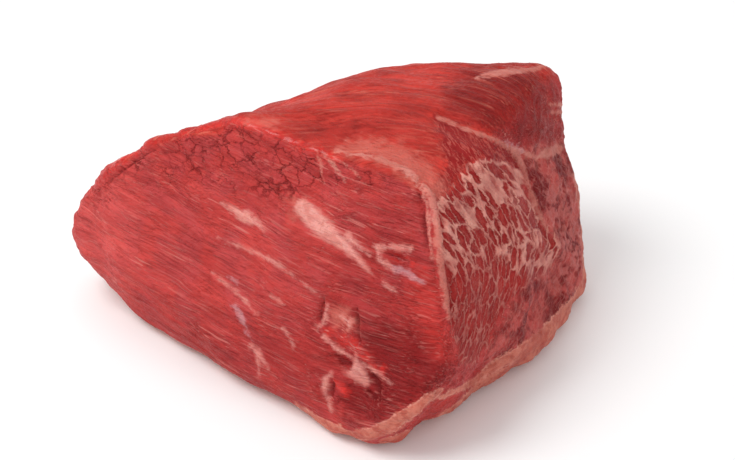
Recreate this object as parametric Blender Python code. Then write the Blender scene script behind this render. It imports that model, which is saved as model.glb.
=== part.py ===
# A raw beef joint for roasting: one thick block of muscle, trimmed flat by the knife on most sides,
# with its fat cap underneath. Metres, +Z up, resting on the fat cap, longest way along X.

import math

import bmesh
import bpy
from mathutils import Matrix, Vector, noise

mm = 0.001

# Driving dimensions, in millimetres and degrees
heart = Vector((4.5, 10, 49.5))   # a point deep in the block, from which every cut is measured
cutSharpness = 13                 # how tightly the flesh rounds over where two cuts meet
flatDepth = 1.2                   # how much of the lowest flesh is pressed flat by the block's weight
gridTurn = -35                    # the grid's lines run along the front cut and the side cut
gridHalf = (92, 62, 52)           # half sizes of the box that the grid starts as
gridCells = (42, 28, 24)

# Each cut: the way it faces round from +X, its tilt above level, and its reach from the heart
cuts = {
    "front": (-125, 27, 46.5),
    "front_low": (-130, -21, 71),
    "nose_under": (-55, -24, 90),
    "top": (-111, 89, 56.5),
    "top_left": (123, 54, 56.2),
    "top_rear": (85, 61, 68.5),
    "shoulder": (-33, 29, 79.5),
    "side": (-30, 21, 80),
    "side_rear": (-20, 14, 83),
    "side_low": (-41, -23, 97.5),
    "left_end": (197, 6, 112.7),
    "left_low": (201, -35, 99.5),
    "back": (101, 4, 60),
    "back_left": (121, 17, 74),
    "back_right": (54, -6, 90.5),
    "back_low": (95, -42, 72),
    "bottom": (0, -90, 49.5),
}

# Lips (+) and grooves (-) that follow the edge between two cuts: the cuts, the height, the half
# width, how far past the edge they lie towards the second cut, and how ragged they are from 0 to 1
edgeForms = (
    ("front", "top", 3.2, 4.4, -1, 0.9),         # torn lip of the grain end
    ("front", "top_left", 5.0, 6, 0, 0.9),
    ("front", "top", -2.2, 6, 12, 0.6),          # trough behind the lip
    ("front", "top_left", -1.8, 6, 13, 0.6),
    ("front", "side", 2.4, 3.8, 0, 0.5),         # seam of gristle where the next muscle starts
    ("front", "side", -1.8, 3.4, -8, 0.8),
    ("front", "side", -3.0, 8, 12, 0.4),         # valley beside the seam
    ("front", "shoulder", 1.8, 3.8, 0, 0.5),
    ("front", "shoulder", -1.8, 5, 9, 0.5),
    ("front_low", "bottom", 1.8, 6.5, -5, 0.7),  # roll of the fat cap round the foot
    ("nose_under", "bottom", 1.8, 6.5, -5, 0.7),
    ("side_low", "bottom", 1.8, 6.5, -5, 0.7),
    ("left_low", "bottom", 1.4, 7, -6, 0.7),
    ("back_low", "bottom", 1.8, 7, -5, 0.7),
    ("top_rear", "back", 1.8, 5, -3, 0.8),       # strip of fat left along the back
    ("top_rear", "back_right", 1.6, 5, -3, 0.8),
)

# Swellings (+) and hollows (-) in the flesh: the height, the half width, and the line they follow, in
# the same frame as the heart, before the origin is moved under the block's middle
fleshForms = {
    "marbled_bulge": (3.6, 12, ((57, -15, 99), (73, -11, 75), (80, -12, 54), (71, -36, 47))),
    "muscle_line": (-3.0, 4, ((43, 4, 106), (58, -5, 103), (73, 2, 90), (82, 2, 68), (89, 2, 48))),
    "side_hollow": (-3.6, 9, ((82, -24, 32), (94, 1, 29))),
    "side_notch": (-6.0, 7, ((60, -54, 24), (62, -50, 12))),
    "corner_knob": (2.4, 9, ((89, 57, 95), (93, 55, 90))),
    "top_crown": (2.2, 12, ((14, 58, 98), (34, 60, 97))),
    "fat_lip": (2.6, 6, ((6, -71, 12), (16, -77, 15), (31, -78, 27), (42, -76, 38), (48, -71, 47))),
    "nose_foot": (2.6, 13, ((-14, -66, 6), (10, -72, 6), (24, -70, 6))),
    "corner_hollow": (-4.4, 6.5, ((33, -63, 14), (37, -61, 4))),
    "side_waist": (-3.0, 12, ((97, 28, 80), (102, 54, 64))),
    "foot_notch": (-4.0, 4.5, ((8, -72, 10), (7, -70, 2))),
    "upper_pocket": (-3.0, 6, ((0, -53, 46), (4, -59, 40))),
    "lower_pocket": (-3.4, 6, ((9, -70, 28), (18, -71, 38))),
    "left_pocket": (-2.6, 5.5, ((-3, -61, 28), (0, -67, 17))),
    "back_fold": (-4.4, 5.5, ((-45, 88, 88), (-20, 84, 62), (10, 80, 40), (30, 78, 22))),
    "back_swell": (4.0, 14, ((20, 78, 70), (55, 68, 60))),
    "left_fold": (-3.4, 5.5, ((-96, 22, 78), (-104, 20, 52), (-98, 10, 30))),
}

# Cracks that have opened between the blocks of fibre on the front cut, below its torn lip
lipLine = ((-97, 28, 66), (-60, 20, 88), (-36, 12, 99), (0, -14, 103), (22, -29, 103))
crackDepth, crackHalfWidth = 2.4, 2.6
crackSpacing = 13
crackedBand = 26                  # how far from the lip the cracks reach

# Unevenness of the whole surface: height and spacing of each, and the grain that the bundles follow
lumpHeight, lumpSpacing = 2.2, 38
dimpleHeight, dimpleSpacing = 1.5, 14
bundleHeight, bundleSpacing, bundleLength = 1.8, 10, 60
grainWay = Vector((0.80, -0.59, -0.08)).normalized()
raggedSpacing = 9                 # length of one tooth of a ragged lip


def facing(azimuth, tilt):
    # Unit vector that looks the given way round from +X and up from level
    level = math.cos(math.radians(tilt))
    turn = math.radians(azimuth)
    return Vector((level * math.cos(turn), level * math.sin(turn), math.sin(math.radians(tilt))))


# One vector a cut: multiplied by a point seen from the heart it gives 1 on the cut, less inside
gauges = {name: facing(azimuth, tilt) / reach for name, (azimuth, tilt, reach) in cuts.items()}


def cutShares(direction):
    # How far the block reaches in this direction, and how much of its surface there each cut makes
    pulls = {name: max(0.0, gauge.dot(direction)) for name, gauge in gauges.items()}
    strongest = max(pulls.values())
    shares = {name: (pull / strongest) ** cutSharpness for name, pull in pulls.items()}
    total = sum(shares.values())
    reach = total ** (-1 / cutSharpness) / strongest
    return reach, {name: share / total for name, share in shares.items()}


def distanceToPath(point, path):
    # Shortest distance from a point to a line of straight stretches
    best = (point - Vector(path[0])).length
    for start, end in zip(path, path[1:]):
        start, end = Vector(start), Vector(end)
        along = (point - start).dot(end - start) / (end - start).length_squared
        nearest = start.lerp(end, min(1.0, max(0.0, along)))
        best = min(best, (point - nearest).length)
    return best


def bump(distance, halfWidth):
    return math.exp(-((distance / halfWidth) ** 2))


def edgeRelief(point, shares):
    # Lips and grooves along the edges between cuts
    height = 0.0
    tooth = noise.noise(point / raggedSpacing)
    for first, second, size, halfWidth, past, ragged in edgeForms:
        lean = gauges[second] - gauges[first]
        distance = lean.dot(point - heart) / lean.length - past
        near = (shares[first] + shares[second]) ** 2
        height += size * (1 + ragged * tooth) * near * bump(distance, halfWidth)
    return height


def fleshRelief(point):
    # Named swellings and hollows
    return sum(size * bump(distanceToPath(point, path), halfWidth)
               for size, halfWidth, path in fleshForms.values())


def crackRelief(point, shares):
    # Sunk lines between neighbouring blocks of fibre, fading away from the lip
    nearest, second = noise.voronoi(point / crackSpacing)[0][:2]
    crack = bump((second - nearest) * crackSpacing, crackHalfWidth)
    return -crackDepth * crack * shares["front"] * bump(distanceToPath(point, lipLine), crackedBand)


def unevenness(point):
    # Soft lumps, dimples, and bundles of fibre drawn out along the grain
    along = grainWay * point.dot(grainWay)
    bundlePoint = (point - along) / bundleSpacing + along / bundleLength
    return (lumpHeight * noise.noise(point / lumpSpacing)
            + dimpleHeight * noise.noise(point / dimpleSpacing)
            + bundleHeight * noise.noise(bundlePoint))


def fleshPoint(direction):
    # Where the surface lies in this direction from the heart
    reach, shares = cutShares(direction)
    point = heart + direction * reach
    outward = Vector((0, 0, 0))
    for name, share in shares.items():
        if share > 0:
            outward += gauges[name] * share / gauges[name].dot(direction)
    relief = edgeRelief(point, shares) + fleshRelief(point) + crackRelief(point, shares) + unevenness(point)
    return point + outward.normalized() * relief * (1 - shares["bottom"])


def griddedBox():
    # A box whose sides are divided in even cells
    bm = bmesh.new()
    bmesh.ops.create_cube(bm, size=2)
    for axis, cells in enumerate(gridCells):
        way = Vector((0, 0, 0))
        way[axis] = 1
        for step in range(1, cells):
            everything = bm.verts[:] + bm.edges[:] + bm.faces[:]
            bmesh.ops.bisect_plane(bm, geom=everything, plane_co=way * (2 * step / cells - 1), plane_no=way)
    return bm


def shapeBlock(bm):
    # Draws the box's grid out to the flesh, presses the foot flat and puts the origin under the middle
    turn = Matrix.Rotation(math.radians(gridTurn), 3, "Z")
    for vert in bm.verts:
        boxPoint = turn @ Vector([side * half for side, half in zip(vert.co, gridHalf)])
        vert.co = fleshPoint(boxPoint.normalized())
        vert.co.z = max(vert.co.z, flatDepth)
    lowest = Vector([min(vert.co[axis] for vert in bm.verts) for axis in range(3)])
    highest = Vector([max(vert.co[axis] for vert in bm.verts) for axis in range(3)])
    middle = (lowest + highest) / 2
    bmesh.ops.translate(bm, vec=(-middle.x, -middle.y, -lowest.z), verts=bm.verts)
    bmesh.ops.scale(bm, vec=(mm, mm, mm), verts=bm.verts)


def beefMaterial():
    material = bpy.data.materials.new("raw_beef")
    material.use_nodes = True
    shader = material.node_tree.nodes["Principled BSDF"]
    shader.inputs["Base Color"].default_value = (0.50, 0.065, 0.055, 1)
    shader.inputs["Roughness"].default_value = 0.4
    shader.inputs["Metallic"].default_value = 0
    return material


def buildJoint():
    bm = griddedBox()
    shapeBlock(bm)
    mesh = bpy.data.meshes.new("beef_joint")
    bm.to_mesh(mesh)
    bm.free()
    mesh.shade_smooth()
    mesh.materials.append(beefMaterial())
    joint = bpy.data.objects.new("beef_joint", mesh)
    collection = bpy.data.collections.new("roast_beef_joint")
    bpy.context.scene.collection.children.link(collection)
    collection.objects.link(joint)


for leftOver in list(bpy.data.objects):
    bpy.data.objects.remove(leftOver, do_unlink=True)
buildJoint()
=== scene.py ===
import math

import bmesh
import bpy
import numpy as np
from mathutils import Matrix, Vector, noise


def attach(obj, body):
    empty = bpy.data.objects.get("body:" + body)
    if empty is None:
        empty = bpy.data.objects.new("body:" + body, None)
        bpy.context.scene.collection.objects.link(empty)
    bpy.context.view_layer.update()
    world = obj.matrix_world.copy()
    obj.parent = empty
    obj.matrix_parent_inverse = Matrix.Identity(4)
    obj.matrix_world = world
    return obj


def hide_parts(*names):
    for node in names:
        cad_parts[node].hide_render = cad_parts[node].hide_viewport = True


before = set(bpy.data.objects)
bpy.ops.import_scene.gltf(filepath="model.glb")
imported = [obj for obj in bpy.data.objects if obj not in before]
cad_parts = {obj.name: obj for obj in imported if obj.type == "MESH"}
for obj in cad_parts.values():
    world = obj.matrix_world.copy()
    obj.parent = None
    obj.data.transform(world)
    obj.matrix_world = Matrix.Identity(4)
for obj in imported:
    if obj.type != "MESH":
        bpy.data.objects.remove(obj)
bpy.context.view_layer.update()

mm = 0.001
photoSize = (735, 460)  # pixel places below are in the photo's own frame

camera = {
    "place": (0.01527, -0.56774, 0.46608),
    "lookDown": 36,  # degrees below level, looking along +Y
    "lens": 85,
    "sensor": 36,
}

skin = {
    "cell": 1.1 * mm,  # spacing of the even mesh that carries the fine relief
    "weld": 0.02 * mm,  # points of the solid closer than this become one
    "facetRounds": 2,
    "cellRounds": 6,
    "cellCalm": 0.5,  # how far each of those rounds evens the cells out
}


def makeCamera():
    data = bpy.data.cameras.new("photoCamera")
    data.lens = camera["lens"]
    data.sensor_width = camera["sensor"]
    obj = bpy.data.objects.new("photoCamera", data)
    obj.location = camera["place"]
    obj.rotation_euler = (math.radians(90 - camera["lookDown"]), 0, 0)
    bpy.context.scene.collection.objects.link(obj)
    bpy.context.scene.camera = obj


def photoPixels(points):
    # where each point of the meat lies in the photo
    tilt = math.radians(camera["lookDown"])
    focal = camera["lens"] / camera["sensor"] * photoSize[0]
    seen = points - np.array(camera["place"])
    depth = seen[:, 1] * math.cos(tilt) - seen[:, 2] * math.sin(tilt)
    rise = seen[:, 1] * math.sin(tilt) + seen[:, 2] * math.cos(tilt)
    across = photoSize[0] / 2 + focal * seen[:, 0] / depth
    down = photoSize[1] / 2 - focal * rise / depth
    return np.stack([across, down], axis=1)


def evenSkin():
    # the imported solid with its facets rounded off, remeshed in even cells
    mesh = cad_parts["beef_joint"].data.copy()
    bm = bmesh.new()
    bm.from_mesh(mesh)
    bmesh.ops.remove_doubles(bm, verts=bm.verts, dist=skin["weld"])
    bm.to_mesh(mesh)
    bm.free()
    mesh.materials.clear()
    obj = bpy.data.objects.new("rawBeef", mesh)
    bpy.context.scene.collection.objects.link(obj)
    rounding = obj.modifiers.new("rounding", "SUBSURF")
    rounding.levels = rounding.render_levels = skin["facetRounds"]
    cells = obj.modifiers.new("cells", "REMESH")
    cells.mode = "VOXEL"
    cells.voxel_size = skin["cell"]
    cells.use_smooth_shade = True
    calm = obj.modifiers.new("calm", "SMOOTH")
    calm.factor = skin["cellCalm"]
    calm.iterations = skin["cellRounds"]
    graph = bpy.context.evaluated_depsgraph_get()
    even = bpy.data.meshes.new_from_object(obj.evaluated_get(graph))
    obj.modifiers.clear()
    obj.data = even
    bpy.data.meshes.remove(mesh)
    return obj


def readVectors(rows, name):
    vectors = np.empty(len(rows) * 3)
    rows.foreach_get(name, vectors)
    return vectors.reshape(-1, 3)


def smoothStep(low, high, value):
    part = np.clip((value - low) / (high - low), 0, 1)
    return part * part * (3 - 2 * part)


def unitWay(azimuth, tilt):
    level = math.cos(math.radians(tilt))
    turn = math.radians(azimuth)
    return np.array([level * math.cos(turn), level * math.sin(turn), math.sin(math.radians(tilt))])


def strokeDepth(spots, stroke):
    # how deep each spot lies inside a stroke of (place, half width) stops; negative is outside
    best = np.full(len(spots), -1e3)
    for start, end in zip(stroke, stroke[1:]):
        a, b = np.array(start[:-1], float), np.array(end[:-1], float)
        part = np.clip((spots - a) @ (b - a) / ((b - a) @ (b - a)), 0, 1)
        gap = np.linalg.norm(spots - (a + part[:, None] * (b - a)), axis=1)
        best = np.maximum(best, start[-1] + part * (end[-1] - start[-1]) - gap)
    return best


def areaDepth(pixels, outline):
    # how deep each pixel lies inside a closed outline; negative is outside
    inside = np.zeros(len(pixels), bool)
    gap = np.full(len(pixels), 1e3)
    for start, end in zip(outline, outline[1:] + outline[:1]):
        a, b = np.array(start, float), np.array(end, float)
        crosses = (a[1] > pixels[:, 1]) != (b[1] > pixels[:, 1])
        meets = a[0] + (pixels[:, 1] - a[1]) / (b[1] - a[1] + 1e-9) * (b[0] - a[0])
        inside ^= crosses & (pixels[:, 0] < meets)
        part = np.clip((pixels - a) @ (b - a) / ((b - a) @ (b - a)), 0, 1)
        gap = np.minimum(gap, np.linalg.norm(pixels - (a + part[:, None] * (b - a)), axis=1))
    return np.where(inside, gap, -gap)


# pale fat on the front cut, as strokes of pixel stops (across, down, half width)
frontFat = {
    "smallPatch": ((222, 203, 1.0), (232, 209, 3.0), (246, 216, 6.0), (257, 222, 3.0), (264, 230, 1.0)),
    "largePatch": ((303, 207, 9.0), (316, 221, 11.0), (334, 237, 8.0), (347, 247, 6.0), (357, 258, 3.5),
                   (366, 268, 2.0), (372, 274, 1.0)),
    "patchBranch": ((348, 236, 4.0), (358, 246, 2.5), (370, 255, 1.5)),
    "cornerBar": ((376, 246, 2.5), (393, 246, 2.2), (411, 249, 3.0)),
    "cornerLeg": ((377, 247, 3.0), (380, 260, 3.0), (393, 269, 2.0)),
    "squareEdge": ((327, 304, 2.0), (326, 314, 2.8), (325, 322, 2.2), (319, 327, 1.5)),
    "squareCorner": ((340, 316, 1.0), (350, 321, 2.6), (350, 328, 1.6)),
    "pocketRim": ((323, 336, 1.5), (332, 343, 2.6), (338, 350, 3.2), (351, 357, 2.0)),
    "pocketTop": ((362, 363, 1.5), (372, 369, 2.0), (382, 376, 1.8), (392, 384, 1.0)),
    "leftStrip": ((331, 374, 2.0), (325, 380, 3.6), (325, 388, 2.8), (328, 398, 2.2), (331, 412, 1.5)),
    "lowFork": ((249, 345, 1.5), (257, 352, 2.5), (263, 361, 2.2), (268, 367, 1.0)),
    "lowForkArm": ((257, 352, 1.5), (258, 366, 1.5), (259, 377, 1.0)),
    "vein": ((219, 237, 0.2), (241, 246, 0.9), (256, 253, 1.8), (270, 260, 2.8), (284, 269, 1.6),
             (299, 279, 1.0), (323, 299, 0.2)),
    "secondVein": ((212, 273, 0.4), (224, 283, 1.9), (236, 291, 1.6), (246, 302, 1.6), (256, 314, 0.6)),
    # the highlight tick is a painted highlight, laid on as pale fat
    "highlightTick": ((382, 281, 1.2), (389, 287, 1.6), (396, 292, 1.0)),
    "shortTick": ((270, 296, 1.0), (278, 300, 1.5), (284, 305, 0.8)),
    "lowTick": ((282, 328, 1.0), (289, 336, 1.5), (294, 348, 1.0)),
}

# the same fat where it lies as a wide patch, as closed outlines
fatPatches = {
    "pocket": [(341, 371), (349, 367), (353, 358), (356, 353), (362, 359), (369, 372), (372, 382),
               (365, 389), (354, 382), (346, 377)],
    "underCorner": [(378, 246), (392, 244), (411, 248), (410, 253), (392, 251), (382, 252)],
}

# the seam between the two muscles, the line across the top, the strip and ticks along the back, and the
# strands that fan out below the lip
seamFat = {
    "seam": ((424, 184, 2.0), (431, 196, 3.5), (435, 212, 3.8), (438, 240, 3.6), (441, 265, 3.8),
             (444, 285, 3.8), (446, 300, 3.0), (449, 318, 1.8)),
    "seamHead": ((336, 151, 1.2), (352, 153, 1.8), (372, 157, 2.2), (395, 166, 3.0), (412, 175, 2.5),
                 (424, 186, 2.0)),
    "seamLine": ((416, 182, 0.8), (423, 192, 1.8), (427, 212, 2.0), (429, 235, 1.8), (431, 258, 1.0)),
    "topLine": ((438, 117, 1.5), (448, 121, 2.6), (458, 126, 1.6), (470, 131, 2.6), (482, 134, 1.8),
                (494, 139, 3.2), (503, 144, 2.6), (512, 149, 3.6), (520, 160, 2.5), (526, 176, 1.8),
                (532, 195, 2.0), (540, 215, 1.8), (549, 232, 1.2)),
    "topLineTail": ((514, 148, 3.0), (524, 153, 2.2), (536, 158, 2.4), (546, 153, 4.5), (557, 149, 5.0)),
    "backStrip": ((477, 78, 1.0), (490, 75, 3.0), (504, 73, 4.0), (518, 71, 3.5), (532, 69, 2.5),
                  (545, 67, 1.0)),
    "backTicks": ((550, 104, 1.4), (562, 105, 2.4)),
    "lowTicks": ((552, 112, 1.0), (562, 112, 2.0)),
    "fanLeft": ((316, 151, 0.6), (321, 166, 1.4), (324, 184, 0.4)),
    "fanRight": ((322, 153, 0.8), (333, 165, 1.6), (345, 182, 0.4)),
    "fanFar": ((334, 157, 0.6), (350, 168, 1.2), (366, 184, 0.2)),
}

# thin pale fascia that the red shows through
fascia = {
    "overSeam": ((340, 148, 3.0), (368, 148, 9.0), (396, 156, 13.0), (420, 172, 13.0), (438, 190, 9.0)),
    "topTail": ((520, 154, 3.0), (538, 160, 7.0), (556, 151, 9.0)),
    "browned": ((250, 121, 3.0), (274, 122, 5.0)),
    "squareFlap": ((331, 309, 4.0), (341, 317, 10.0), (348, 323, 7.0)),
    "nearPatch": ((300, 212, 8.0), (292, 200, 3.0)),
}

# marks on the sides that the photo hides, as strokes of (x, y, z, half width) in mm: first the fat
hiddenFat = {
    "backFold": ((-42, 86, 84, 1.0), (-20, 83, 62, 2.6), (8, 79, 42, 3.4), (26, 77, 26, 2.2)),
    "backBranch": ((-20, 83, 62, 1.4), (4, 82, 66, 2.2), (26, 80, 62, 1.2)),
    "backPatch": ((44, 74, 58, 2.0), (54, 71, 48, 6.0), (64, 66, 34, 3.0)),
    "backLowPatch": ((-58, 74, 26, 2.0), (-44, 78, 22, 5.0), (-28, 80, 20, 2.4)),
    "backTick": ((-4, 80, 92, 1.0), (12, 78, 86, 1.8), (20, 77, 80, 1.0)),
    "leftFold": ((-93, 22, 76, 1.0), (-101, 20, 51, 2.2), (-96, 10, 29, 1.4)),
    "leftPatch": ((-88, 50, 44, 2.0), (-84, 56, 32, 4.5), (-76, 60, 24, 2.4)),
    "leftTick": ((-98, 30, 60, 1.0), (-94, 42, 56, 1.8), (-88, 50, 60, 1.0)),
    "farStreak": ((88, 40, 90, 1.6), (94, 44, 66, 2.4), (98, 38, 44, 1.4)),
    "farBranch": ((94, 44, 66, 1.2), (84, 60, 54, 2.0), (76, 66, 46, 1.0)),
}

# the cap where it rolls up from the foot
hiddenCap = {
    "farPatch": ((98, 44, 4, 16.0), (101, 40, 15, 11.0), (101, 39, 34, 5.0), (98, 41, 54, 3.0),
                 (94, 46, 72, 0.8)),
    "backPatch": ((6, 76, 4, 12.0), (0, 79, 14, 7.0), (-6, 81, 22, 2.0)),
    "leftPatch": ((-92, 30, 4, 12.0), (-96, 28, 16, 6.0), (-100, 22, 26, 1.5)),
}

# sheets of silverskin
hiddenSilver = {
    "backSheet": ((-66, 74, 54, 5.0), (-46, 80, 46, 9.0), (-26, 80, 40, 5.0)),
    "farSheet": ((70, 60, 84, 4.0), (76, 56, 66, 8.0), (80, 50, 50, 4.0)),
}

# thin fascia
hiddenFascia = {
    "backLow": ((-62, 70, 30, 5.0), (-20, 80, 24, 9.0), (34, 74, 24, 8.0), (72, 60, 30, 6.0)),
    "backHigh": ((10, 78, 96, 5.0), (40, 74, 88, 9.0), (64, 66, 84, 6.0)),
    "leftHigh": ((-92, 30, 84, 4.0), (-84, 50, 76, 8.0), (-70, 66, 72, 4.0)),
}

# lilac silverskin
silverskin = {
    "rightPatch": ((393, 268, 3.0), (404, 271, 4.5), (414, 279, 4.0), (426, 283, 2.0)),
    "veinHead": ((228, 278, 1.5), (238, 282, 2.5)),
    "topKnot": ((497, 140, 0.5), (508, 143, 3.0), (519, 149, 2.5), (524, 154, 1.0)),
    "lowVein": ((234, 304, 3.0), (240, 314, 4.0), (246, 326, 2.6), (252, 340, 1.2)),
}

# salmon fat of the cap where it shows along the foot and up the far edge
capFat = {
    "frontFoot": ((296, 404, 1.5), (314, 418, 4.5), (334, 430, 6.0), (352, 436, 5.5), (372, 434, 7.0),
                  (390, 426, 7.5), (408, 414, 7.0), (424, 402, 5.0), (442, 390, 2.5)),
    "underNose": ((440, 398, 2.5), (458, 390, 3.0), (474, 382, 3.5), (486, 372, 4.0)),
    "sideFoot": ((486, 372, 4.0), (500, 363, 6.0), (520, 353, 7.0), (541, 339, 8.0), (560, 319, 7.0),
                 (576, 300, 5.0), (588, 276, 4.0)),
    "underFoot": ((384, 443, 5.0), (404, 438, 5.0), (424, 427, 3.0), (442, 416, 3.0), (462, 404, 5.0),
                  (482, 387, 7.0), (502, 376, 7.0), (522, 366, 7.0), (543, 349, 7.0), (562, 327, 6.0),
                  (580, 303, 4.0)),
    "farEdge": ((590, 290, 6.0), (589, 268, 6.5), (587, 250, 4.5), (584, 222, 3.5), (579, 194, 2.0),
                (574, 174, 0.5)),
}

# saturated orange red where the fresh cut is wettest; along the three lips this is partly painted light,
# the glow of light caught on and through these thin raised edges
brightFlesh = {
    "leftLip": ((96, 182, 3.0), (108, 170, 5.0), (118, 161, 6.0), (130, 152, 5.0), (146, 143, 5.0),
                (162, 137, 3.0)),
    "middleLip": ((162, 137, 3.0), (186, 130, 4.5), (206, 123, 6.0), (224, 121, 6.0), (240, 122, 5.0)),
    "rightLip": ((240, 122, 5.0), (262, 130, 5.0), (288, 141, 5.0), (312, 150, 5.5), (336, 159, 3.0)),
    "belowSquare": ((324, 328, 3.0), (336, 333, 5.0), (348, 341, 5.5), (357, 348, 3.0)),
    "belowPocket": ((358, 353, 2.0), (368, 359, 3.5), (380, 369, 3.0), (386, 378, 1.0)),
    "lowBlock": ((337, 383, 4.0), (345, 392, 4.0)),
    "cornerGap": ((394, 257, 1.5), (410, 261, 2.5), (422, 267, 1.5)),
}

# parts of the flesh, as closed outlines of pixels (across, down)
zones = {
    # the marbled muscle on the right
    "marble": [(437, 204), (452, 188), (466, 168), (484, 158), (504, 164), (518, 172), (530, 195),
               (544, 223), (561, 244), (558, 262), (536, 284), (514, 300), (500, 322), (490, 346),
               (474, 366), (460, 366), (450, 318), (442, 262)],
    # the dark muscle behind it, and its lighter edge
    "dark": [(516, 148), (560, 140), (590, 180), (596, 280), (560, 322), (520, 350), (482, 372),
             (490, 346), (508, 312), (524, 282), (545, 256), (549, 236), (536, 208), (524, 178)],
    "paleSide": [(546, 182), (570, 186), (582, 230), (586, 268), (566, 284), (552, 290), (556, 262),
                 (562, 244), (548, 222)],
    # cracked blocks of fibre under the lip
    "cracked": [(84, 196), (104, 170), (160, 138), (206, 126), (250, 128), (300, 146), (346, 164),
                (392, 182), (330, 186), (290, 200), (244, 190), (200, 182), (150, 186), (110, 200)],
    # red flesh with fine strands, above the marbling
    "strandy": [(432, 114), (462, 124), (496, 140), (518, 154), (520, 172), (500, 164), (482, 158),
                (464, 168), (450, 188), (438, 204), (430, 190), (446, 164), (440, 140)],
    # darker parts of the top, near the lip and behind the line across it
    "topNear": [(250, 116), (330, 118), (420, 106), (446, 120), (440, 152), (400, 152), (336, 146),
                (290, 134)],
    "darkTop": [(470, 66), (538, 62), (552, 96), (566, 150), (520, 146), (480, 132), (450, 112), (440, 84)],
    # redder flesh beside the seam, the pinker end, the dark part low on the front cut, and painted shade
    # over the lower front cut where the light falls off
    "warmSide": [(404, 276), (424, 268), (440, 292), (448, 330), (448, 360), (434, 364), (424, 338),
                 (414, 310)],
    "paleEnd": [(60, 160), (96, 150), (136, 140), (140, 176), (132, 230), (122, 290), (60, 290)],
    "darkLow": [(362, 332), (384, 318), (410, 326), (440, 330), (452, 372), (440, 392), (400, 414),
                (372, 424), (346, 416), (336, 396), (366, 366)],
    "shadeAndTone": [(150, 316), (230, 330), (310, 296), (350, 220), (380, 190), (426, 200), (446, 300),
              (455, 372), (430, 408), (372, 440), (296, 408), (200, 362)],
}

# hollows and open cracks in the front cut, (across, down, half width), sunk into the relief and darkened
# with painted shade, with a painted shadow under the left lip and painted shade beside the seam
shadedHollows = {
    "squareRight": ((356, 308, 0.8), (357, 318, 2.0), (357, 330, 1.6), (359, 344, 1.0)),
    "squareLeft": ((323, 298, 0.6), (322, 310, 1.5), (320, 320, 0.8)),
    "pocket": ((334, 355, 1.5), (343, 361, 4.0), (350, 364, 2.0)),
    "underRim": ((372, 376, 2.0), (377, 382, 3.0), (378, 392, 1.5), (380, 400, 0.8)),
    "leftPocket": ((332, 384, 1.5), (330, 396, 2.4)),
    "cornerDark": ((386, 254, 1.2), (398, 258, 2.4), (408, 262, 1.2)),
    "lowRight": ((368, 392, 1.5), (374, 398, 3.0)),
    "underLip": ((106, 184, 0.4), (122, 170, 1.4), (140, 157, 1.2), (158, 148, 0.4)),
    "besideSeam": ((418, 192, 0.6), (422, 206, 1.8), (424, 230, 1.6), (427, 252, 0.8)),
}

# the strokes that make each mask, in the photo and on the hidden sides
strokes = {
    "fat": frontFat,
    "seam": seamFat,
    "fascia": fascia,
    "silver": silverskin,
    "cap": capFat,
    "bright": brightFlesh,
    "deep": shadedHollows,
}
hiddenStrokes = {
    "fat": hiddenFat,
    "fascia": hiddenFascia,
    "silver": hiddenSilver,
    "cap": hiddenCap,
}

# how far a mask fades on each side of its edge, in pixels, and in mm on the hidden sides
softness = {
    "fat": 5, "seam": 3, "fascia": 12, "silver": 4, "cap": 3, "bright": 7, "deep": 2.5,
    "marble": 5, "dark": 6, "paleSide": 8, "cracked": 9, "strandy": 8, "topNear": 18, "darkTop": 20,
    "warmSide": 14, "paleEnd": 30, "darkLow": 14, "shadeAndTone": 40,
}
hiddenSoftness = {"fat": 2.2, "fascia": 9, "silver": 8, "cap": 3}

sides = {
    "calmRounds": 24,  # how often the normals are evened out
    "seen": (-0.25, 0.1),  # how squarely flesh faces the camera, from hidden to seen
    "patchShare": 0.75,  # how strong the wide patches of fat are
    "silverShare": 0.55,  # how strong the silverskin on the hidden sides is
    "toneSpacing": 34,  # mm from one darker part of the hidden sides to the next
    "shadeAndTone": (-0.1, 0.3),  # the noise's values from light to dark
    "darkFrom": (64, 82),  # mm along X where the dark muscle starts on the hidden sides and is full
    "darkWander": 16,  # mm that this edge wanders
    "under": (0.45, 0.85),  # how squarely flesh faces down where the cap covers it
    "rollHeight": (17, 7),  # mm above the floor where the cap's roll ends and is full
    "rollWander": 9,
    "rollSpacing": 22,
    "rollSeen": (0.95, 0.4),  # the seen mask where there is no roll, and where it is full
}

# the faces that have the grain of the top: the way each looks, and how squarely flesh faces that way
topFaces = {
    "top": (unitWay(0, 90), 0.62, 0.86),
    "back": (unitWay(101, 4), 0.35, 0.7),
}


def softNoise(spots, spacing, shift=0.0):
    return np.array([noise.noise(Vector(spot)) for spot in spots / spacing + shift])


def blur(mesh, values, rounds):
    # evens values out over neighbouring points
    edges = np.empty(len(mesh.edges) * 2, int)
    mesh.edges.foreach_get("vertices", edges)
    a, b = edges.reshape(-1, 2).T
    count = np.bincount(a, minlength=len(values)) + np.bincount(b, minlength=len(values)) + 1.0
    for _ in range(rounds):
        total = values.copy()
        for column in range(values.shape[1]):
            total[:, column] += np.bincount(a, values[b, column], len(values))
            total[:, column] += np.bincount(b, values[a, column], len(values))
        values = total / count[:, None]
    return values


def deepestStroke(spots, group):
    return np.max([strokeDepth(spots, stroke) for stroke in group.values()], axis=0)


def laidOn(spots, stroke, between=6):
    # the stroke with more stops, each moved to the nearest point of the skin
    laid = []
    for start, end in zip(np.array(stroke, float), np.array(stroke[1:], float)):
        for step in range(between + 1):
            stop = start + (end - start) * step / between
            nearest = spots[np.argmin(np.sum((spots - stop[:3]) ** 2, axis=1))]
            if not laid or tuple(nearest) != laid[-1][:3]:
                laid.append((*nearest, stop[3]))
    return laid


def fade(depth, soft):
    # from none to full over this much on each side of a mark's edge
    return np.clip(0.5 + depth / (2 * soft), 0, 1)


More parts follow.
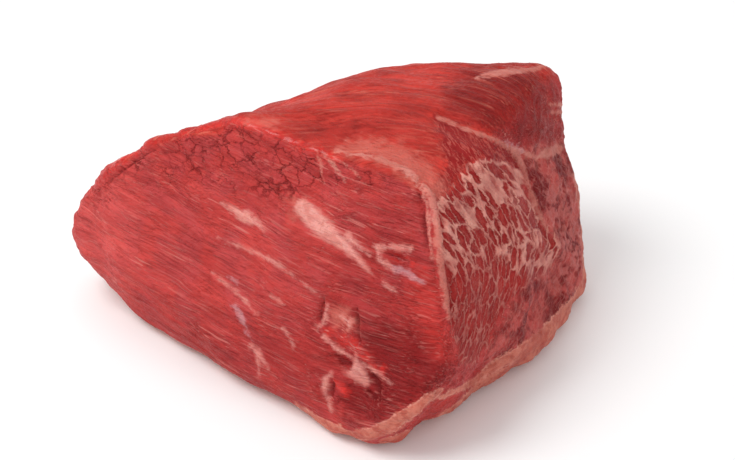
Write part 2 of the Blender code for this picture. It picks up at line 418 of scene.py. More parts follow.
def paintSeen(pixels, seen):
    # the masks of all that the photo shows
    masks = {}
    for name, group in strokes.items():
        masks[name] = fade(deepestStroke(pixels, group), softness[name]) * seen
    for name, outline in zones.items():
        masks[name] = fade(areaDepth(pixels, outline), softness[name]) * seen
    patches = np.max([areaDepth(pixels, outline) for outline in fatPatches.values()], axis=0)
    patches = sides["patchShare"] * (fade(patches, softness["fat"]) * seen)
    masks["fat"] = np.maximum(masks["fat"], patches)
    return masks


def paintHidden(masks, flesh, seen, calm):
    # carries the masks on over the sides that the photo hides
    away = 1 - seen
    hidden = {}
    for name, group in hiddenStrokes.items():
        laid = {strokeName: laidOn(flesh, stroke) for strokeName, stroke in group.items()}
        hidden[name] = fade(deepestStroke(flesh, laid), hiddenSoftness[name]) * away
    masks["fat"] = masks["fat"] + hidden["fat"]
    masks["fascia"] = np.maximum(masks["fascia"], hidden["fascia"])
    masks["silver"] = np.maximum(masks["silver"], sides["silverShare"] * hidden["silver"])
    tone = softNoise(flesh, sides["toneSpacing"], 5.0)
    darkEnd = smoothStep(*sides["darkFrom"], flesh[:, 0] + sides["darkWander"] * tone)
    masks["dark"] = np.maximum(masks["dark"], away * darkEnd)
    masks["shadeAndTone"] = np.maximum(masks["shadeAndTone"], away * smoothStep(*sides["shadeAndTone"], tone))
    under = smoothStep(*sides["under"], -calm[:, 2])
    wander = sides["rollWander"] * softNoise(flesh, sides["rollSpacing"])
    roll = smoothStep(*sides["rollHeight"], flesh[:, 2] + wander) * smoothStep(*sides["rollSeen"], seen)
    masks["cap"] = np.maximum.reduce([masks["cap"] + hidden["cap"], under, roll])


def paintMasks(obj):
    # every zone and mark as a soft value on the points, half at its edge
    mesh = obj.data
    points = readVectors(mesh.vertices, "co")
    normals = readVectors(mesh.vertex_normals, "vector")
    calm = blur(mesh, normals, sides["calmRounds"])
    calm /= np.linalg.norm(calm, axis=1)[:, None]
    pixels = photoPixels(points)
    sight = np.array(camera["place"]) - points
    sight /= np.linalg.norm(sight, axis=1)[:, None]
    seen = smoothStep(*sides["seen"], np.sum(calm * sight, axis=1))
    masks = paintSeen(pixels, seen)
    paintHidden(masks, points / mm, seen, calm)
    facing = [smoothStep(low, high, calm @ way) for way, low, high in topFaces.values()]
    masks["topFace"] = np.max(facing, axis=0)
    masks["seen"] = seen
    for name, values in masks.items():
        attribute = mesh.attributes.new(name, "FLOAT", "POINT")
        attribute.data.foreach_set("value", values)
    return points, normals, pixels, masks


# which way the fibres run: their heading, their tilt, the way the cut looks, and how the fibres bend
grains = {
    "frontGrain": {"heading": (-37, -4), "facing": (-125, 27), "bend": -0.0016, "bendFrom": 0,
                   "width": 1.0, "length": 1.0},
    "topGrain": {"heading": (2, 2), "facing": (0, 90), "bend": 0.009, "bendFrom": 20,
                 "width": 1.9, "length": 1.6},
}

# the slant of the marbling's strands: pixels down, pixels across for each pixel down, and how closely
# the strands lie together
strandSlant = ((140, 0.75, 1.0), (200, 0.65, 1.0), (245, 0.42, 1.1), (275, 0.05, 1.35), (305, -0.2, 1.6),
               (350, -0.3, 1.8), (400, -0.3, 1.8))
strandMiddle = (482, 250)  # the pixel that the strands draw together about
lowStrands = (102, 128, 1.0, 0.3)  # from the first to the second mm down, the web thins and fades
pixelSize = 0.43  # mm of the meat to one pixel of the photo


def storeVector(mesh, name, spots):
    attribute = mesh.attributes.new(name, "FLOAT_VECTOR", "POINT")
    attribute.data.foreach_set("vector", np.ascontiguousarray(spots).ravel())


def layGrain(mesh, points):
    # places in mm with X along the fibres, for each of the grains
    for name, grain in grains.items():
        along = unitWay(*grain["heading"])
        across = np.cross(unitWay(*grain["facing"]), along)
        across /= np.linalg.norm(across)
        out = np.cross(along, across)
        spots = points / mm @ np.stack([along, across, out], axis=1)
        spots[:, 1] += grain["bend"] * np.maximum(spots[:, 0] - grain["bendFrom"], 0) ** 2
        spots /= (grain["length"], grain["width"], grain["width"])
        storeVector(mesh, name, spots)


def layStrands(mesh, pixels):
    # across and along the strands of the marbling, in mm, which fan out down the side
    rows = np.arange(photoSize[1])
    stops, slants, closeness = np.array(strandSlant).T
    drift = np.cumsum(np.interp(rows, stops, slants))
    down = np.clip(pixels[:, 1], 0, photoSize[1] - 1)
    slant = np.interp(down, stops, slants)
    middle = strandMiddle[0] - drift[strandMiddle[1]]
    across = pixels[:, 0] - np.interp(down, rows, drift) - middle
    across *= np.interp(down, stops, closeness) / np.sqrt(1 + slant ** 2)
    storeVector(mesh, "strands", np.stack([across, down, 0 * down], axis=1) * pixelSize)


def linear(red, green, blue):
    # a colour as the eye sees it, 0 to 255, in the shader's own numbers
    parts = []
    for part in (red, green, blue):
        part /= 255
        parts.append(part / 12.92 if part <= 0.04045 else ((part + 0.055) / 1.055) ** 2.4)
    return (*parts, 1)


def addNode(tree, kind, **settings):
    node = tree.nodes.new(kind)
    for name, value in settings.items():
        setattr(node, name, value)
    return node


def feed(tree, socket, value):
    # joins a node's output to the socket, or sets the socket to a plain value
    if isinstance(value, bpy.types.NodeSocket):
        tree.links.new(value, socket)
    else:
        socket.default_value = value


def maths(tree, operation, first, second):
    node = addNode(tree, "ShaderNodeMath", operation=operation)
    feed(tree, node.inputs[0], first)
    feed(tree, node.inputs[1], second)
    return node.outputs[0]


def times(tree, first, second):
    return maths(tree, "MULTIPLY", first, second)


def vectorMaths(tree, operation, *values):
    node = addNode(tree, "ShaderNodeVectorMath", operation=operation)
    for socket, value in zip(node.inputs, values):
        feed(tree, socket, value)
    return node.outputs[0]


def spread(tree, value, low, high, toLow=0.0, toHigh=1.0):
    # eases a value from one range to another
    node = addNode(tree, "ShaderNodeMapRange", interpolation_type="SMOOTHSTEP")
    values = {"Value": value, "From Min": low, "From Max": high, "To Min": toLow, "To Max": toHigh}
    for name, given in values.items():
        feed(tree, node.inputs[name], given)
    return node.outputs["Result"]


def noiseAt(tree, vector, sizes, detail=2.0, rough=0.5, shift=(0, 0, 0)):
    # noise whose cells have the given sizes; gives its value and its colour
    node = addNode(tree, "ShaderNodeTexNoise")
    place = vectorMaths(tree, "DIVIDE", vectorMaths(tree, "ADD", vector, shift), sizes)
    values = {"Vector": place, "Scale": 1, "Detail": detail, "Roughness": rough}
    for name, given in values.items():
        feed(tree, node.inputs[name], given)
    return node.outputs["Fac"], node.outputs["Color"]


def ridge(tree, value, width):
    # 1 along the thin lines where a noise passes its middle value
    return spread(tree, maths(tree, "ABSOLUTE", maths(tree, "SUBTRACT", value, 0.5), 0), 0, width, 1, 0)


def cellsAt(tree, vector, sizes, feature):
    node = addNode(tree, "ShaderNodeTexVoronoi", feature=feature)
    feed(tree, node.inputs["Vector"], vectorMaths(tree, "DIVIDE", vector, sizes))
    node.inputs["Scale"].default_value = 1
    return node.outputs


def newPattern(name, kind, outputs):
    # an empty node group with a place to read and plain numbers to give
    tree = bpy.data.node_groups.new(name, kind)
    tree.interface.new_socket("Place", in_out="INPUT", socket_type="NodeSocketVector")
    for output in outputs:
        tree.interface.new_socket(output, in_out="OUTPUT", socket_type="NodeSocketFloat")
    return tree, addNode(tree, "NodeGroupInput").outputs["Place"], addNode(tree, "NodeGroupOutput").inputs


def eased(tree, vector, look, detail, shift):
    # noise of the look's size, eased between its values
    size, values = look
    return spread(tree, noiseAt(tree, vector, size, detail, 0.5, shift)[0], *values)


# noises along the fibres: the size in mm, then the noise's values where it starts and where it is full,
# and what it is eased from and to, if not 0 and 1
fibres = {
    "bendSize": (34, 16, 16),
    "bend": (0, 6, 6),  # mm that the fibres wander
    "line": ((13, 0.62, 0.62), (0.50, 0.70)),
    "patch": ((16, 6, 6), (0.36, 0.60, 0.25, 1)),  # where the lines are faint and where they are full
    "sheath": ((30, 1.0, 1.0), (0.60, 0.70)),
    "rare": ((30, 10, 10), (0.5, 0.62)),  # the few places that have pale sheaths
    "bundle": ((30, 3.4, 3.4), (0.3, 0.7)),
    "fraySize": (6, 0.8, 0.8),
}


def fibrePattern(kind):
    # thin dark gaps, thin light sheaths and rare long pale ones along X, the tone of whole bundles, and a
    # noise that frays edges along the fibres
    tree, place, out = newPattern("fibres", kind, ("Dark", "Light", "Pale", "Tone", "Rag"))
    bend = noiseAt(tree, place, fibres["bendSize"], 1)[1]
    bent = vectorMaths(tree, "MULTIPLY_ADD", bend, fibres["bend"], place)
    for name, shift in (("Dark", (0, 0, 0)), ("Light", (17, 9, 23))):
        lines = eased(tree, bent, fibres["line"], 2, shift)
        patchy = eased(tree, place, fibres["patch"], 1, shift)
        feed(tree, out[name], times(tree, lines, patchy))
    sheaths = eased(tree, bent, fibres["sheath"], 1, (31, 17, 5))
    rare = eased(tree, place, fibres["rare"], 1, (11, 53, 7))
    feed(tree, out["Pale"], times(tree, sheaths, rare))
    feed(tree, out["Tone"], eased(tree, bent, fibres["bundle"], 2, (5, 11, 3)))
    feed(tree, out["Rag"], noiseAt(tree, bent, fibres["fraySize"], 2, 0.6, (2, 9, 4))[0])
    return tree


# blocks of fibre with thin cracks between them; widths are shares of a block
blocks = {
    "bendSize": (4, 4, 4),
    "bend": (6, 6, 6),
    "size": (7.6, 4.8, 6),
    "width": ((9, 9, 9), (0.4, 0.62, 0.02, 0.09)),
    "parted": ((13, 13, 13), (0.42, 0.56, 0.2, 1)),  # where the cracks are faint and where they are open
    "edge": 0.01,  # where a crack starts to fade
}


def crackPattern(kind):
    # the cracks, and a tone for each block
    tree, place, out = newPattern("cracks", kind, ("Gap", "Block"))
    bend = noiseAt(tree, place, blocks["bendSize"], 3, 0.65, (7, 7, 1))[1]
    bent = vectorMaths(tree, "MULTIPLY_ADD", bend, blocks["bend"], place)
    edge = cellsAt(tree, bent, blocks["size"], "DISTANCE_TO_EDGE")["Distance"]
    width = eased(tree, place, blocks["width"], 1, (3, 1, 8))
    parted = eased(tree, place, blocks["parted"], 1, (5, 9, 2))
    feed(tree, out["Gap"], times(tree, parted, spread(tree, edge, blocks["edge"], width, 1, 0)))
    feed(tree, out["Block"], cellsAt(tree, bent, blocks["size"], "F1")["Color"])
    return tree


# a web of fat round drawn-out islands of lean; widths are shares of an island
marbling = {
    "bendSize": (2.4, 4, 5),
    "bend": (3.2, 6.0, 0),
    "island": (2.7, 8.4, 9),
    "width": ((7, 11, 9), (0.39, 0.70, 0.05, 0.285)),
    "faint": ((3, 6, 6), (0.34, 0.56, 0.65, 1)),
    "thinFaint": (0.4, 1.0, 0.6, 1),  # fainter too where the web thins out
    "edge": (-0.10, 0.14),
    "core": (0.05, 0.45),
    "strandSize": (1.3, 9, 9),
    "strandWidth": 0.06,
}


def webPattern(kind):
    # the web, the islands' cores and tones, and finer strands
    tree, place, out = newPattern("marbling", kind, ("Web", "Core", "Tone", "Strand"))
    bend = noiseAt(tree, place, marbling["bendSize"], 3, 0.65)[1]
    bent = vectorMaths(tree, "MULTIPLY_ADD", bend, marbling["bend"], place)
    near = cellsAt(tree, bent, marbling["island"], "F1")
    far = cellsAt(tree, bent, marbling["island"], "F2")
    inside = maths(tree, "SUBTRACT", far["Distance"], near["Distance"])
    axes = addNode(tree, "ShaderNodeSeparateXYZ")
    feed(tree, axes.inputs[0], place)
    thinning = spread(tree, axes.outputs["Y"], *lowStrands)
    width = times(tree, eased(tree, place, marbling["width"], 1, (9, 4, 2)), thinning)
    depth = maths(tree, "SUBTRACT", inside, width)
    faint = eased(tree, place, marbling["faint"], 2, (8, 3, 5))
    faint = times(tree, faint, spread(tree, thinning, *marbling["thinFaint"]))
    web = spread(tree, depth, *marbling["edge"], 1, 0)
    feed(tree, out["Web"], times(tree, faint, web))
    feed(tree, out["Core"], spread(tree, depth, *marbling["core"]))
    feed(tree, out["Tone"], near["Color"])
    thin = noiseAt(tree, bent, marbling["strandSize"], 2, 0.5, (4, 1, 6))[0]
    feed(tree, out["Strand"], ridge(tree, thin, marbling["strandWidth"]))
    return tree


# cloudy unevenness: the size in mm, the detail, the roughness and the shift of each noise
clouding = {
    "Broad": ((13, 13, 13), 3, 0.55, (0, 0, 0)),
    "Ragged": ((3.4, 3.4, 3.4), 3, 0.5, (6, 2, 9)),
    "Fine": ((1.6, 1.6, 1.6), 3, 0.6, (3, 8, 1)),
}


def cloudPattern(kind):
    tree, place, out = newPattern("clouds", kind, tuple(clouding))
    for name, cloud in clouding.items():
        feed(tree, out[name], noiseAt(tree, place, *cloud)[0])
    return tree


# every pattern and the places it reads, for the relief and the material alike
patterns = {
    "front": (fibrePattern, "frontGrain"),
    "top": (fibrePattern, "topGrain"),
    "cracks": (crackPattern, "frontGrain"),
    "web": (webPattern, "strands"),
}


def measurePatterns(obj):
    # the value of every pattern on the mesh's points, read with Geometry Nodes
    tree = bpy.data.node_groups.new("measure", "GeometryNodeTree")
    for way in ("INPUT", "OUTPUT"):
        tree.interface.new_socket("Geometry", in_out=way, socket_type="NodeSocketGeometry")
    shape = addNode(tree, "NodeGroupInput").outputs["Geometry"]
    names = []
    for name, (build, placeName) in patterns.items():
        group = addNode(tree, "GeometryNodeGroup", node_tree=build("GeometryNodeTree"))
        place = addNode(tree, "GeometryNodeInputNamedAttribute", data_type="FLOAT_VECTOR")
        place.inputs["Name"].default_value = placeName
        feed(tree, group.inputs["Place"], place.outputs["Attribute"])
        for socket in group.outputs:
            names.append(name + socket.name)
            store = addNode(tree, "GeometryNodeStoreNamedAttribute", data_type="FLOAT", domain="POINT")
            store.inputs["Name"].default_value = names[-1]
            feed(tree, store.inputs["Geometry"], shape)
            feed(tree, store.inputs["Value"], socket)
            shape = store.outputs["Geometry"]
    feed(tree, addNode(tree, "NodeGroupOutput").inputs["Geometry"], shape)
    reader = obj.modifiers.new("reader", "NODES")
    reader.node_group = tree
    graph = bpy.context.evaluated_depsgraph_get()
    mesh = bpy.data.meshes.new_from_object(obj.evaluated_get(graph))
    measured = {}
    for name in names:
        measured[name] = np.empty(len(mesh.vertices))
        mesh.attributes[name].data.foreach_get("value", measured[name])
    obj.modifiers.clear()
    bpy.data.meshes.remove(mesh)
    for group in list(bpy.data.node_groups):
        bpy.data.node_groups.remove(group)
    return measured


# heights in mm, up (+) or down (-)
relief = {
    "bundle": 1.0,
    "gap": -0.18,
    "crack": -0.7,
    "block": 1.3,
    "island": -0.55,
    "seam": 0.6,
    "groove": -0.9,
    "hollow": -2.0,
    "fat": 0.35,
    "lip": 0.7,
    "lobule": 1.1,
    "lobuleSize": 7.5,
    "lobuleLevel": 0.45,  # how far from a lobe's middle the fat is level, as a share of its size
    "fatCalm": 0.5,  # how much fat and the cap take from the fibres' relief
    "capCalm": 0.6,
    "seamEdge": (-2, 3),  # pixels into the seam from level to full height
    "grooveAway": 4,  # pixels from the seam's edge to the middle of the groove, and its half width
    "grooveWidth": 2.4,
}


def lobules(points):
    # fat swells in small lobes
    far = [noise.voronoi(Vector(point) / relief["lobuleSize"])[0][0] for point in points]
    return relief["lobule"] * (relief["lobuleLevel"] - np.array(far))


def raiseRelief(obj, points, normals, pixels, masks):
    seen = masks["seen"]
    top = masks["topFace"]
    marble = smoothStep(0.3, 0.7, masks["marble"])
    found = measurePatterns(obj)
    plain = (1 - relief["fatCalm"] * masks["fat"]) * (1 - relief["capCalm"] * masks["cap"]) * (1 - marble)
    height = np.zeros(len(points))
    for name, share in (("front", 1 - top), ("top", top)):
        bundles = relief["bundle"] * (found[name + "Tone"] - 0.5)
        height += share * plain * (bundles + relief["gap"] * found[name + "Dark"])
    cracks = relief["crack"] * found["cracksGap"]
    height += masks["cracked"] * (cracks + relief["block"] * (found["cracksBlock"] - 0.5))
    height += marble * relief["island"] * (1 - found["webWeb"])
    seamGap = strokeDepth(pixels, seamFat["seam"])
    grooveGap = (seamGap + relief["grooveAway"]) / relief["grooveWidth"]
    height += seen * relief["seam"] * smoothStep(*relief["seamEdge"], seamGap)
    height += seen * relief["groove"] * np.exp(-(grooveGap ** 2))
    height += relief["fat"] * smoothStep(0.4, 0.9, np.maximum(masks["fat"], masks["seam"]))
    height += relief["hollow"] * smoothStep(0, 1, masks["deep"])
    height += relief["lip"] * smoothStep(0.4, 0.8, masks["bright"])
    capped = np.flatnonzero(masks["cap"] > 0.02)
    height[capped] += lobules(points[capped] / mm) * masks["cap"][capped]
    points = points + normals * (height * mm)[:, None]
    points[:, 2] = np.maximum(points[:, 2], 0)
    obj.data.vertices.foreach_set("co", points.ravel())
    obj.data.update()


colours = {
    "lean": linear(200, 68, 64),
    "leanDeep": linear(148, 26, 28),
    "leanPale": linear(222, 134, 124),
    "leanRose": linear(226, 96, 92),
    "leanCool": linear(182, 72, 76),
    "top": linear(210, 63, 53),
    "topDeep": linear(146, 32, 28),
    "topPale": linear(224, 120, 100),
    "shade": linear(190, 142, 146),  # multiplies the flesh where it is shaded
    # the gap colour is a painted shade, laid in the cracks under the lip and in the hollows of the front
    # cut
    "gap": linear(112, 18, 20),
    "island": linear(136, 20, 24),
    "core": linear(172, 48, 42),
    "web": linear(226, 152, 138),
    "webDeep": linear(204, 114, 104),
    "strand": linear(190, 94, 84),
    "islandRed": linear(178, 36, 34),
    "dark": linear(116, 16, 21),
    "darkPale": linear(204, 88, 82),
    "darkRed": linear(126, 8, 12),
    "warm": linear(218, 60, 52),
    "sidePale": linear(206, 112, 106),
    "bright": linear(220, 44, 36),
    "fascia": linear(214, 116, 102),
    "fat": linear(232, 160, 150),
    "fatDeep": linear(212, 124, 114),
    "seam": linear(202, 116, 104),
    "seamPale": linear(222, 146, 134),
    "cap": linear(208, 120, 102),
    "capDeep": linear(178, 72, 60),
    "capPale": linear(230, 158, 142),
    "capRed": linear(172, 62, 54),
    "silver": linear(208, 150, 154),
}

# how each colour is clouded into another: the cloud, its values from none to full, and the share
mottles = {
    "leanCool": ("Broad", 0.4, 0.65, 0.5),
    "topDeep": ("Broad", 0.45, 0.65, 0.4),
    "darkPale": ("Broad", 0.40, 0.58, 0.8),
    "darkRed": ("Ragged", 0.48, 0.62, 0.6),
    "sidePale": ("Ragged", 0.43, 0.57, 0.75),
    "webDeep": ("Ragged", 0.4, 0.62, 0.5),
    "capDeep": ("Ragged", 0.44, 0.6, 0.6),
    "capRed": ("Broad", 0.52, 0.66, 0.5),
    "seamPale": ("Broad", 0.48, 0.62, 0.5),
    "fatDeep": ("Ragged", 0.42, 0.6, 0.7),
}

# how strongly a pattern brings its colour in: first the fibres' own patterns, then the others
shares = {
    "Tone": 0.5,
    "Dark": 0.38,
    "Light": 0.25,
    "Pale": 0.45,
    "block": 0.4,
    "crack": 0.55,
    "strandyStrand": 0.45,
    "darkStrand": 0.22,
    "islandTone": 0.6,
    "islandCore": 0.5,
    "islandStrand": 0.35,
    "capRim": 0.7,
    "fatSheath": 0.5,
}

# how a mask lays its colour on: the share, the mask's values from none to full, and how frayed its edge
# is; for the lean and the top also the colour, in the order they are laid
leanLayers = {
    "paleEnd": ("leanRose", 0.5, 0.0, 1.0, 0.2),
    # painted shade over the lower front cut, and a darker tone from noise on the hidden sides
    "shadeAndTone": ("leanDeep", 0.5, 0.0, 1.0, 0.3),
    "darkLow": ("darkRed", 0.75, 0.1, 0.9, 0.6),
    "darkTop": ("darkRed", 0.65, 0.1, 0.9, 0.4),
    "warmSide": ("warm", 0.45, 0.1, 0.9, 0.3),
    # along the lips the bright layer is partly painted light on the raised edges
    "bright": ("bright", 0.85, 0.25, 0.8, 0.7),
}
topLayers = {
    "topNear": ("topDeep", 0.3, 0.1, 0.9, 0.4),
    "darkTop": ("darkRed", 0.75, 0.1, 0.9, 0.4),
    # along the lips the bright layer is partly painted light on the raised edges
    "bright": ("bright", 0.85, 0.25, 0.8, 0.7),
}
layers = {
    "cracked": (1.0, 0.3, 0.6, 0.6),
    "strandy": (0.85, 0.2, 0.8, 0.7),
    "fascia": (0.55, 0.2, 0.9, 0.7),
    "paleSide": (0.9, 0.1, 0.9, 1.0),
    "dark": (0.9, 0.2, 0.8, 0.6),
    "cap": (0.95, 0.35, 0.65, 0.8),
    "seam": (0.85, 0.25, 0.8, 0.7),
    "fat": (0.9, 0.25, 0.95, 0.6),
    "silver": (0.6, 0.3, 1.0, 0.8),
    "deep": (0.75, 0.3, 0.9, 0.5),
}
edging = {
    "rag": (0.45, 0.7, 0, 0.4),  # how the fraying noise darkens the flesh
    "clouds": 1.6,  # what the clouds add to the fraying, and its middle value
    "middle": 1.3,
    "marble": (0.3, 0.7),
    "marbleReach": 0.5,  # how much further the web reaches than the islands
    "rimDepth": (1.0, 0.6),  # the cap's mask where its pale rim starts and is full
    "rimCloud": (0.4, 0.6),
}
finish = {
    "roughness": (0.42, 0.62),
    "roughCloud": (0.35, 0.65),
    "specular": 0.13,
    "wet": 0.45,  # coat where the cut is wettest
    "wetEdge": (0.3, 0.9),
    "coatRoughness": 0.2,
    "sheer": 0.10,  # how much light goes through the flesh
    "sheerDepth": 2.0 * mm,
    "bumpDepth": 0.5 * mm,
    "bumpStrength": 0.8,
    "bumpFine": 0.8,
    "bumpGap": 0.7,
    "bumpSheath": 0.5,
}


def readMask(tree, name):
    return addNode(tree, "ShaderNodeAttribute", attribute_name=name).outputs["Fac"]


def blend(tree, factor, first, second, way="MIX"):
    # sockets 6 and 7 and output 2 are the colours; those before them are for numbers and vectors
    node = addNode(tree, "ShaderNodeMix", data_type="RGBA", blend_type=way)
    feed(tree, node.inputs[0], factor)
    feed(tree, node.inputs[6], first)
    feed(tree, node.inputs[7], second)
    return node.outputs[2]


def drawPatterns(tree):
    # every pattern as the material's own node group
    drawn = {}
    for name, (build, placeName) in patterns.items():
        node = addNode(tree, "ShaderNodeGroup", node_tree=build("ShaderNodeTree"))
        place = addNode(tree, "ShaderNodeAttribute", attribute_name=placeName).outputs["Vector"]
        feed(tree, node.inputs["Place"], place)
        drawn[name] = node.outputs
    clouds = addNode(tree, "ShaderNodeGroup", node_tree=cloudPattern("ShaderNodeTree"))
    place = addNode(tree, "ShaderNodeTexCoord").outputs["Object"]
    feed(tree, clouds.inputs["Place"], vectorMaths(tree, "MULTIPLY", place, (1 / mm,) * 3))
    drawn["clouds"] = clouds.outputs
    return drawn


def mixed(tree, value, share, first, second):
    return blend(tree, times(tree, value, share), first, second)


def clouded(tree, drawn, first, second):
    # mixes the second colour, given by its name, into the first as its mottles say
    cloud, low, high, share = mottles[second]
    return mixed(tree, spread(tree, drawn["clouds"][cloud], low, high), share, first, colours[second])


def over(tree, rag, mask, colour, second, share, low, high, frayed):
    # lays a second colour over the first where a mask, frayed along the fibres, passes its edge
    edge = maths(tree, "ADD", readMask(tree, mask), times(tree, rag, frayed))
    return blend(tree, spread(tree, edge, low, high, 0, share), colour, second)


def streaked(tree, streaks, colour, pale):
    # darkens a colour with painted shade along the gaps between fibres and with a darker tone over whole
    # bundles and frayed places, and lightens it along their sheaths
    frayed = spread(tree, streaks["Rag"], *edging["rag"])
    tone, dark = (times(tree, streaks[name], shares[name]) for name in ("Tone", "Dark"))
    for amount in (tone, frayed, dark):
        colour = blend(tree, amount, colour, colours["shade"], "MULTIPLY")
    for name in ("Light", "Pale"):
        colour = mixed(tree, streaks[name], shares[name], colour, pale)
    return colour


def leanColour(tree, drawn, rag):
    # the lean of the front cut and the sides, with cracked blocks under the lip whose cracks are darkened
    # with painted shade
    colour = clouded(tree, drawn, colours["lean"], "leanCool")
    for mask, (second, *edge) in leanLayers.items():
        colour = over(tree, rag, mask, colour, colours[second], *edge)
    colour = streaked(tree, drawn["front"], colour, colours["leanPale"])
    cracked = mixed(tree, drawn["cracks"]["Block"], shares["block"], colour, colours["leanDeep"])
    cracked = mixed(tree, drawn["cracks"]["Gap"], shares["crack"], cracked, colours["gap"])
    return over(tree, rag, "cracked", colour, cracked, *layers["cracked"])


def topColour(tree, drawn, rag):
    colour = clouded(tree, drawn, colours["top"], "topDeep")
    for mask, (second, *edge) in topLayers.items():
        colour = over(tree, rag, mask, colour, colours[second], *edge)
    return streaked(tree, drawn["top"], colour, colours["topPale"])


def darkColour(tree, drawn, rag):
    # the dark muscle, and its lighter edge
    colour = clouded(tree, drawn, colours["dark"], "darkPale")
    colour = clouded(tree, drawn, colour, "darkRed")
    colour = mixed(tree, drawn["web"]["Strand"], shares["darkStrand"], colour, colours["web"])
    lighter = clouded(tree, drawn, colour, "sidePale")
    return over(tree, rag, "paleSide", colour, lighter, *layers["paleSide"])


def marbledColour(tree, drawn):
    # islands of lean in a web of fat
    web = drawn["web"]
    colour = mixed(tree, web["Tone"], shares["islandTone"], colours["island"], colours["islandRed"])
    colour = mixed(tree, web["Core"], shares["islandCore"], colour, colours["core"])
    colour = mixed(tree, web["Strand"], shares["islandStrand"], colour, colours["strand"])
    return blend(tree, web["Web"], colour, clouded(tree, drawn, colours["web"], "webDeep"))


def capColour(tree, drawn):
    # the fat cap, with a pale rim
    colour = clouded(tree, drawn, colours["cap"], "capDeep")
    rim = spread(tree, readMask(tree, "cap"), *edging["rimDepth"])
    rim = times(tree, rim, spread(tree, drawn["clouds"]["Fine"], *edging["rimCloud"]))
    colour = mixed(tree, rim, shares["capRim"], colour, colours["capPale"])
    return clouded(tree, drawn, colour, "capRed")


def beefColour(tree, drawn):
    front, web, clouds = (drawn[name] for name in ("front", "web", "clouds"))
    rag = maths(tree, "ADD", front["Rag"], times(tree, clouds["Ragged"], edging["clouds"]))
    rag = maths(tree, "SUBTRACT", rag, edging["middle"])
    lean = leanColour(tree, drawn, rag)
    colour = blend(tree, readMask(tree, "topFace"), lean, topColour(tree, drawn, rag))
    strandy = mixed(tree, web["Strand"], shares["strandyStrand"], colours["island"], colours["fascia"])
    colour = over(tree, rag, "strandy", colour, strandy, *layers["strandy"])
    colour = over(tree, rag, "fascia", colour, colours["fascia"], *layers["fascia"])
    colour = over(tree, rag, "dark", colour, darkColour(tree, drawn, rag), *layers["dark"])
    reach = times(tree, maths(tree, "SUBTRACT", web["Web"], 0.5), edging["marbleReach"])
    reach = spread(tree, maths(tree, "ADD", readMask(tree, "marble"), reach), *edging["marble"])
    colour = blend(tree, reach, colour, marbledColour(tree, drawn))
    fat = clouded(tree, drawn, colours["fat"], "fatDeep")
    laidLast = {
        "cap": capColour(tree, drawn),
        "seam": clouded(tree, drawn, colours["seam"], "seamPale"),
        "fat": mixed(tree, front["Light"], shares["fatSheath"], fat, colours["capPale"]),
        "silver": colours["silver"],
        # painted shade: the hollows darkened with the gap colour
        "deep": colours["gap"],
    }
    for mask, second in laidLast.items():
        colour = over(tree, rag, mask, colour, second, *layers[mask])
    return colour


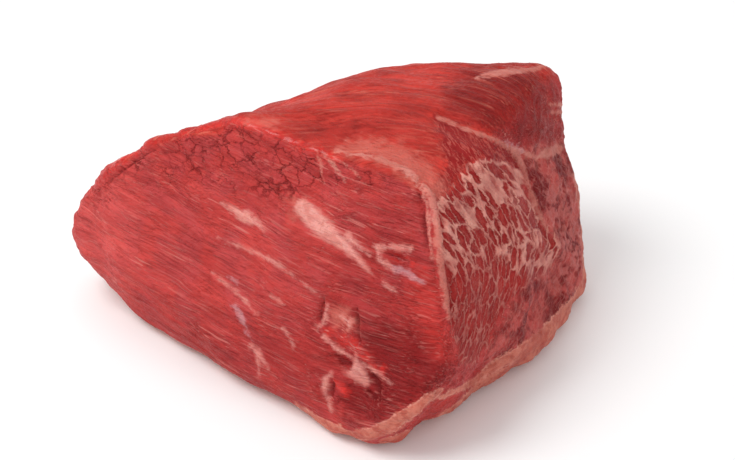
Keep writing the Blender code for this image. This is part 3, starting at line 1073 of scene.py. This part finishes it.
def beefMaterial():
    material = bpy.data.materials.new("rawBeefFlesh")
    material.use_nodes = True
    tree = material.node_tree
    shader = tree.nodes["Principled BSDF"]
    drawn = drawPatterns(tree)
    feed(tree, shader.inputs["Base Color"], beefColour(tree, drawn))
    shine = spread(tree, drawn["clouds"]["Fine"], *finish["roughCloud"], *finish["roughness"])
    feed(tree, shader.inputs["Roughness"], shine)
    wet = spread(tree, readMask(tree, "bright"), *finish["wetEdge"], 0, finish["wet"])
    feed(tree, shader.inputs["Coat Weight"], wet)
    plain = {
        "Specular IOR Level": "specular",
        "Coat Roughness": "coatRoughness",
        "Subsurface Weight": "sheer",
        "Subsurface Scale": "sheerDepth",
    }
    for socket, name in plain.items():
        shader.inputs[socket].default_value = finish[name]
    height = times(tree, drawn["clouds"]["Fine"], finish["bumpFine"])
    for streaks in (drawn["front"], drawn["top"]):
        height = maths(tree, "SUBTRACT", height, times(tree, streaks["Dark"], finish["bumpGap"]))
        height = maths(tree, "ADD", height, times(tree, streaks["Light"], finish["bumpSheath"]))
    gaps = times(tree, drawn["cracks"]["Gap"], readMask(tree, "cracked"))
    webs = times(tree, drawn["web"]["Web"], readMask(tree, "marble"))
    height = maths(tree, "ADD", maths(tree, "SUBTRACT", height, gaps), webs)
    bump = addNode(tree, "ShaderNodeBump")
    bump.inputs["Strength"].default_value = finish["bumpStrength"]
    bump.inputs["Distance"].default_value = finish["bumpDepth"]
    feed(tree, bump.inputs["Height"], height)
    feed(tree, shader.inputs["Normal"], bump.outputs["Normal"])
    return material


studio = {
    "floorSize": 4.0,
    "floorTone": 0.95,
    "floorRoughness": 0.9,
    "sky": 0.80,
    "keyPlace": (-0.62, -0.2, 1.2),
    "keySize": 0.7,
    "keyPower": 9,
}


def makeFloor():
    bm = bmesh.new()
    bmesh.ops.create_grid(bm, x_segments=1, y_segments=1, size=studio["floorSize"] / 2)
    mesh = bpy.data.meshes.new("paleFloor")
    bm.to_mesh(mesh)
    bm.free()
    material = bpy.data.materials.new("paleFloor")
    material.use_nodes = True
    shader = material.node_tree.nodes["Principled BSDF"]
    shader.inputs["Base Color"].default_value = (studio["floorTone"],) * 3 + (1,)
    shader.inputs["Roughness"].default_value = studio["floorRoughness"]
    mesh.materials.append(material)
    floor = bpy.data.objects.new("paleFloor", mesh)
    bpy.context.scene.collection.objects.link(floor)


def makeLight():
    data = bpy.data.lights.new("key", "AREA")
    data.shape = "DISK"
    data.size = studio["keySize"]
    data.energy = studio["keyPower"]
    light = bpy.data.objects.new("key", data)
    light.location = studio["keyPlace"]
    light.rotation_euler = (-light.location).to_track_quat("-Z", "Y").to_euler()
    bpy.context.scene.collection.objects.link(light)


def makeSky():
    world = bpy.data.worlds.new("softWhite")
    world.use_nodes = True
    sky = world.node_tree.nodes["Background"]
    sky.inputs["Color"].default_value = (1, 1, 1, 1)
    sky.inputs["Strength"].default_value = studio["sky"]
    bpy.context.scene.world = world
    bpy.context.scene.view_settings.view_transform = "Standard"


beef = evenSkin()
points, normals, pixels, masks = paintMasks(beef)
print("skin:", len(beef.data.polygons), "faces, masks painted")
layGrain(beef.data, points)
layStrands(beef.data, pixels)
raiseRelief(beef, points, normals, pixels, masks)
print("relief done")
beef.data.materials.append(beefMaterial())
beef.data.shade_smooth()
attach(beef, "root")
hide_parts("beef_joint")
print("finish done")
makeFloor()
makeLight()
makeSky()
makeCamera()
print("studio done")
